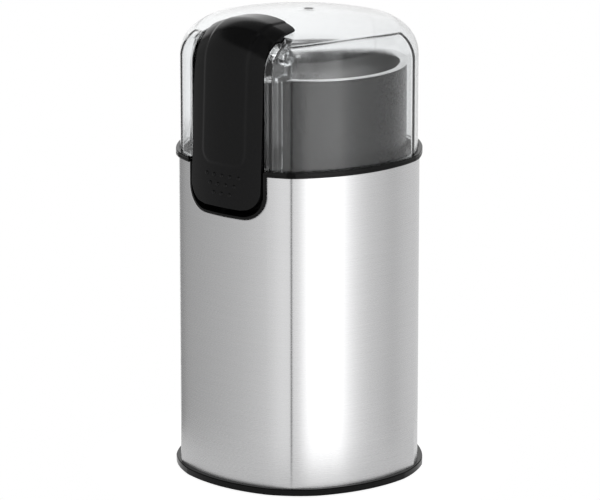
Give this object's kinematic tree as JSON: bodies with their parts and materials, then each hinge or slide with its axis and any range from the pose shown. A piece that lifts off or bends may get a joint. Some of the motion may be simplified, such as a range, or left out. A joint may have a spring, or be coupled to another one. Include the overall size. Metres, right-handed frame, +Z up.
{
  "type": "electric spice grinder",
  "caption": "Upright grinder with a bulged steel sleeve, clear lift-off lid, black press lever, steel bowl and spinning blade.",
  "frame": {"origin": "middle of the underside of the rubber feet, on the centre of the five-sided body", "axes": "+Z up, -Y towards the press lever, +X to the right seen from the lever side"},
  "size_m": [0.0928, 0.0925, 0.1753],
  "materials": {
    "body_sleeve": "brushed",
    "top_ring": "gloss",
    "switch_recess": "satin",
    "bowl_housing": "satin",
    "grinding_bowl": "polished",
    "shaft_seal": "matt",
    "base_ring": "gloss",
    "base_plate": "matt",
    "base_screws": "plated",
    "rubber_feet": "matt",
    "cord_bush": "matt",
    "upper_bracket": "cast",
    "lower_bracket": "moulded",
    "upper_bearing": "sintered",
    "lower_bearing": "sintered",
    "rubber_mounts": "matt",
    "mount_screws": "plated",
    "motor_bolts": "plated",
    "stator_core": "laminated",
    "field_coils": "enamelled wire",
    "brush_holders": "stamped",
    "carbon_brushes": "carbon",
    "brush_springs": "spring steel",
    "switch_body": "moulded",
    "terminal_block": "moulded",
    "motor_shaft": "ground",
    "armature_core": "laminated",
    "armature_windings": "enamelled wire",
    "commutator": "turned",
    "cooling_fan": "moulded",
    "blade_washer": "turned",
    "blade": "ground",
    "blade_nut": "plated",
    "lid": "clear gloss plastic",
    "hinge_pin": "plated",
    "lever_spring": "spring steel",
    "press_lever": "satin",
    "switch_plunger": "moulded"
  },
  "bodies": {
    "body": {"body_sleeve": "body_sleeve", "top_ring": "top_ring", "switch_recess": "switch_recess", "bowl_housing": "bowl_housing", "grinding_bowl": "grinding_bowl", "shaft_seal": "shaft_seal", "base_ring": "base_ring", "base_plate": "base_plate", "base_screws": "base_screws", "rubber_feet": "rubber_feet", "cord_bush": "cord_bush", "upper_bracket": "upper_bracket", "lower_bracket": "lower_bracket", "upper_bearing": "upper_bearing", "lower_bearing": "lower_bearing", "rubber_mounts": "rubber_mounts", "mount_screws": "mount_screws", "motor_bolts": "motor_bolts", "stator_core": "stator_core", "field_coils": "field_coils", "brush_holders": "brush_holders", "carbon_brushes": "carbon_brushes", "brush_springs": "brush_springs", "switch_body": "switch_body", "terminal_block": "terminal_block"},
    "rotor": {"motor_shaft": "motor_shaft", "armature_core": "armature_core", "armature_windings": "armature_windings", "commutator": "commutator", "cooling_fan": "cooling_fan", "blade_washer": "blade_washer", "blade": "blade", "blade_nut": "blade_nut"},
    "lid": {"lid": "lid", "hinge_pin": "hinge_pin", "lever_spring": "lever_spring"},
    "lever": {"press_lever": "press_lever"},
    "plunger": {"switch_plunger": "switch_plunger"}
  },
  "joints": [
    {"name": "blade_spin", "type": "hinge", "parent": "body", "child": "rotor", "pos_m": [0, 0.005, 0.12], "axis": [0, 0, 1], "continuous": true},
    {"name": "lid_lift", "type": "slide", "parent": "body", "child": "lid", "axis": [0, 0, 1], "range_m": [0, 0.06]},
    {"name": "lever_press", "type": "hinge", "parent": "lid", "child": "lever", "pos_m": [0, -0.0312, 0.1635], "axis": [1, 0, 0], "range_deg": [0, 3.5], "stiffness_Nm_per_rad": 0.6, "springref_deg": -2.86, "deforming": ["lever_spring"]},
    {"name": "plunger_press", "type": "slide", "parent": "body", "child": "plunger", "axis": [0, 1, 0], "range_m": [0, 0.00313]}
  ],
  "couplings": [
    {"joint": "plunger_press", "follows": "lever_press", "m_per_rad": 0.050469}
  ]
}
